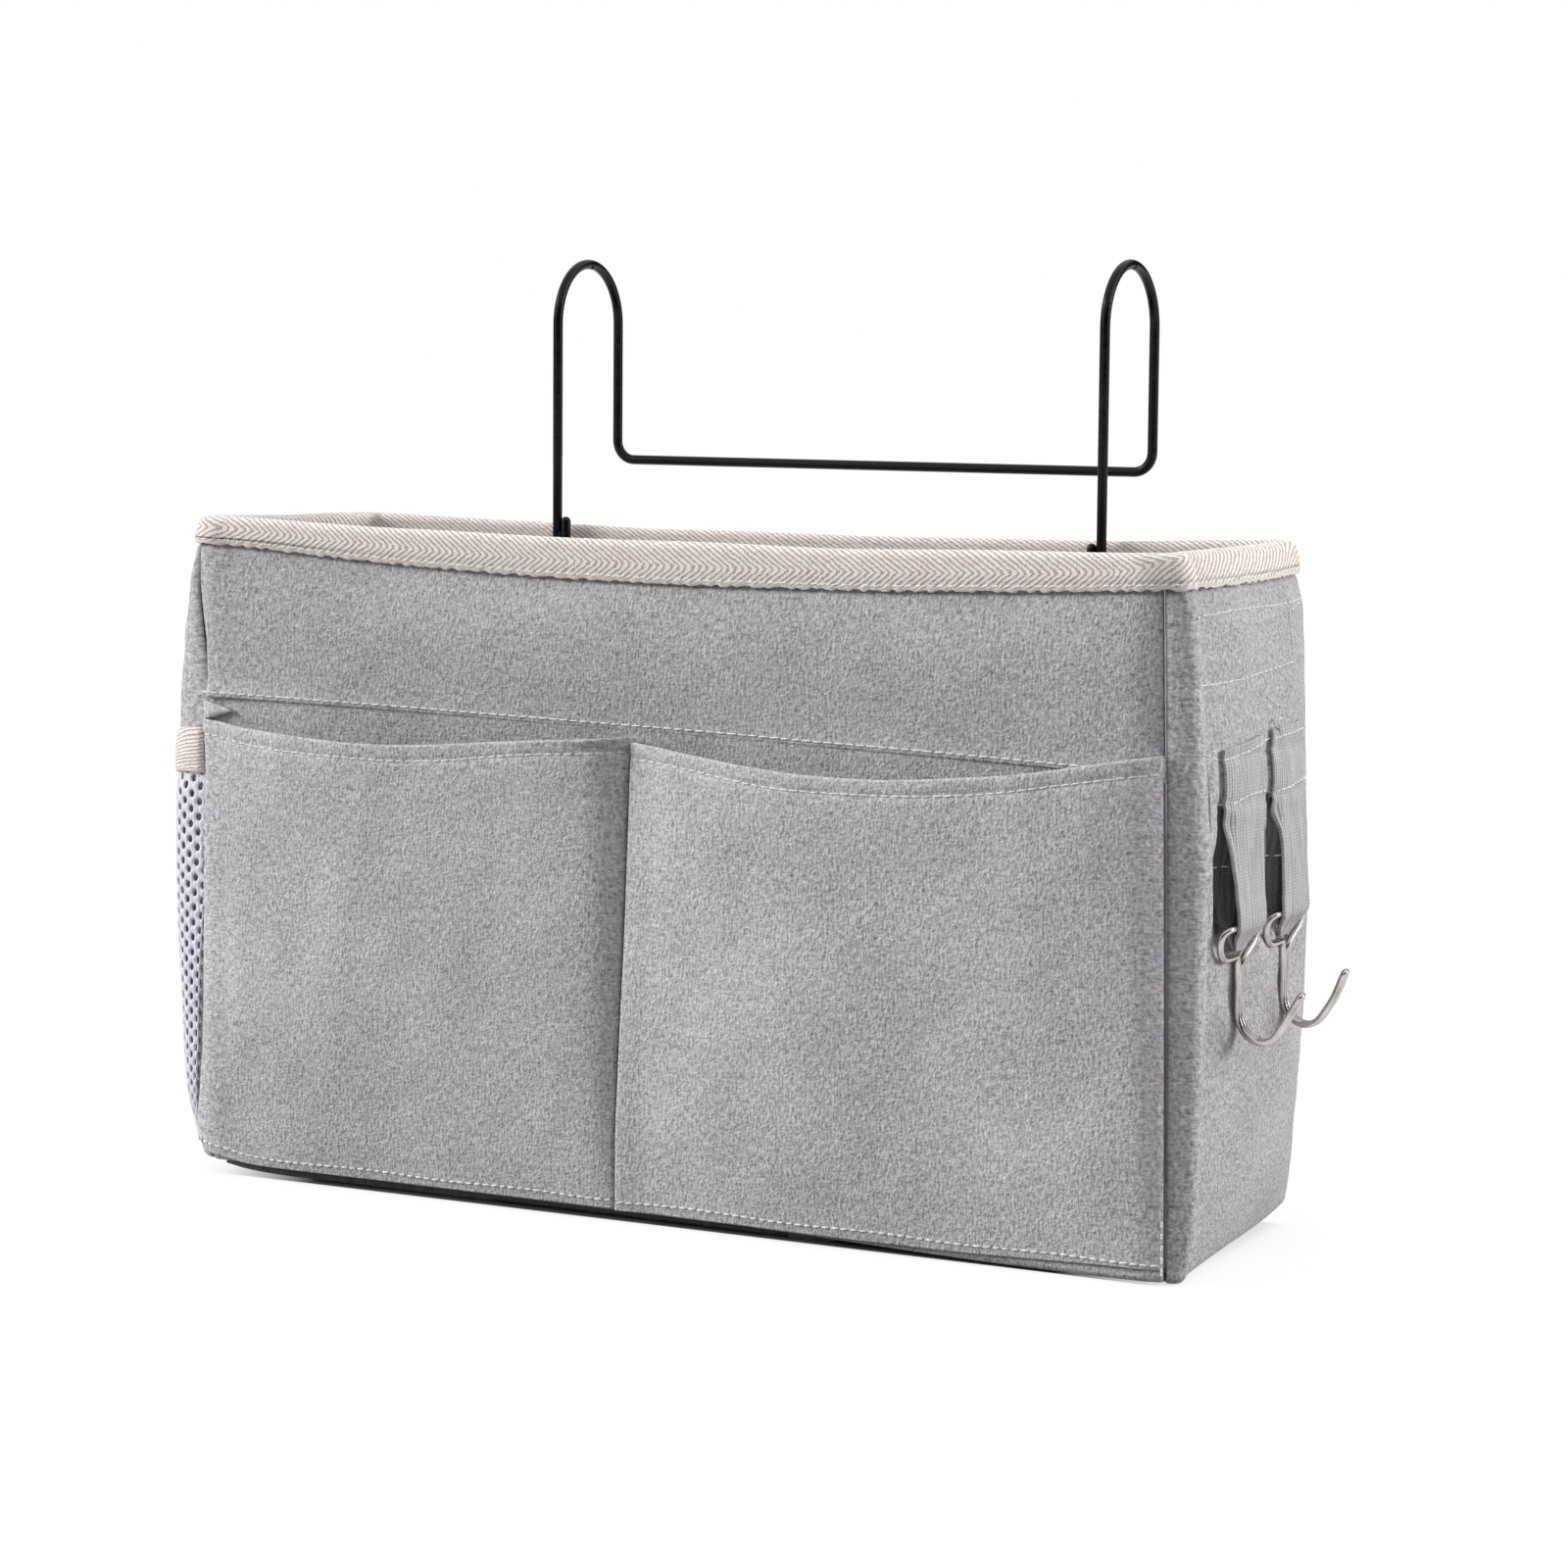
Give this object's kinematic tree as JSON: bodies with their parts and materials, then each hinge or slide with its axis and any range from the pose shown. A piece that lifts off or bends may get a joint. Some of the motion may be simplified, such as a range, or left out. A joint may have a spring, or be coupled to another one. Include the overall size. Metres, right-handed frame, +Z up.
{
  "type": "bedside caddy",
  "caption": "Soft canvas organizer bag with front pockets, a mesh side pocket, hook straps and a bent wire hanger that goes over a bed rail.",
  "frame": {"origin": "middle of the base's underside, on the surface that the bag stands on", "axes": "+X along the bag's width to the side with the strap hooks, +Y back towards the bed rail, +Z up"},
  "size_m": [0.3779, 0.1383, 0.281],
  "materials": {
    "canvas": "grey slubbed linen-look canvas with white flecks",
    "felt": "grey needle felt stiffener",
    "lining": "plain grey lining cloth",
    "tape": "cream herringbone twill tape",
    "mesh": "lilac-white knitted mesh",
    "webbing": "grey ribbed canvas strip",
    "thread": "white sewing thread",
    "black_wire": "gloss black coating on steel wire",
    "nickel_wire": "bright nickel plating on steel wire"
  },
  "bodies": {
    "bag": {"front_upper_panel": "canvas", "front_lower_panel": "canvas", "left_side_panel": "canvas", "right_side_panel": "canvas", "back_panel": "canvas", "base_panel": "canvas", "front_interlining": "felt", "left_side_interlining": "felt", "right_side_interlining": "felt", "back_interlining": "felt", "base_interlining": "felt", "front_lining": "lining", "left_side_lining": "lining", "right_side_lining": "lining", "back_lining": "lining", "base_lining": "lining", "rim_binding": "tape", "left_pocket": "canvas", "right_pocket": "canvas", "mesh_pocket_net": "mesh", "mesh_pocket_binding": "tape", "inner_side_patch": "webbing", "hanger_channel": "lining", "strap_1_sewn_end": "webbing", "strap_2_sewn_end": "webbing", "rim_stitching": "thread", "front_seam_stitching": "thread", "left_pocket_hem_stitching": "thread", "left_pocket_base_stitching": "thread", "right_pocket_hem_stitching": "thread", "right_pocket_base_stitching": "thread", "mesh_binding_stitching": "thread", "patch_top_stitching": "thread", "patch_bottom_stitching": "thread", "strap_upper_stitching": "thread", "strap_lower_stitching": "thread"},
    "hanger": {"hanger_hook_wire": "black_wire", "hanger_lower_frame": "black_wire"},
    "strap_1": {"strap_1_loop": "webbing"},
    "strap_2": {"strap_2_loop": "webbing"},
    "hook_1": {"hook_1": "nickel_wire"},
    "hook_2": {"hook_2": "nickel_wire"}
  },
  "joints": [
    {"name": "hanger_tilt", "type": "hinge", "parent": "bag", "child": "hanger", "pos_m": [0.007, 0.041, 0.183], "axis": [1, 0, 0], "range_deg": [0, 70]},
    {"name": "strap_1_swing", "type": "hinge", "parent": "bag", "child": "strap_1", "pos_m": [0.17159, -0.017, 0.1307], "axis": [0, -1, 0], "range_deg": [0, 80]},
    {"name": "strap_2_swing", "type": "hinge", "parent": "bag", "child": "strap_2", "pos_m": [0.1716, 0.0156, 0.1307], "axis": [0, -1, 0], "range_deg": [0, 80]},
    {"name": "hook_1_swing", "type": "hinge", "parent": "strap_1", "child": "hook_1", "pos_m": [0.17129, -0.017, 0.097], "axis": [0, -1, 0], "range_deg": [0, 100]},
    {"name": "hook_2_swing", "type": "hinge", "parent": "strap_2", "child": "hook_2", "pos_m": [0.1713, 0.0156, 0.097], "axis": [0, -1, 0], "range_deg": [0, 100]}
  ]
}
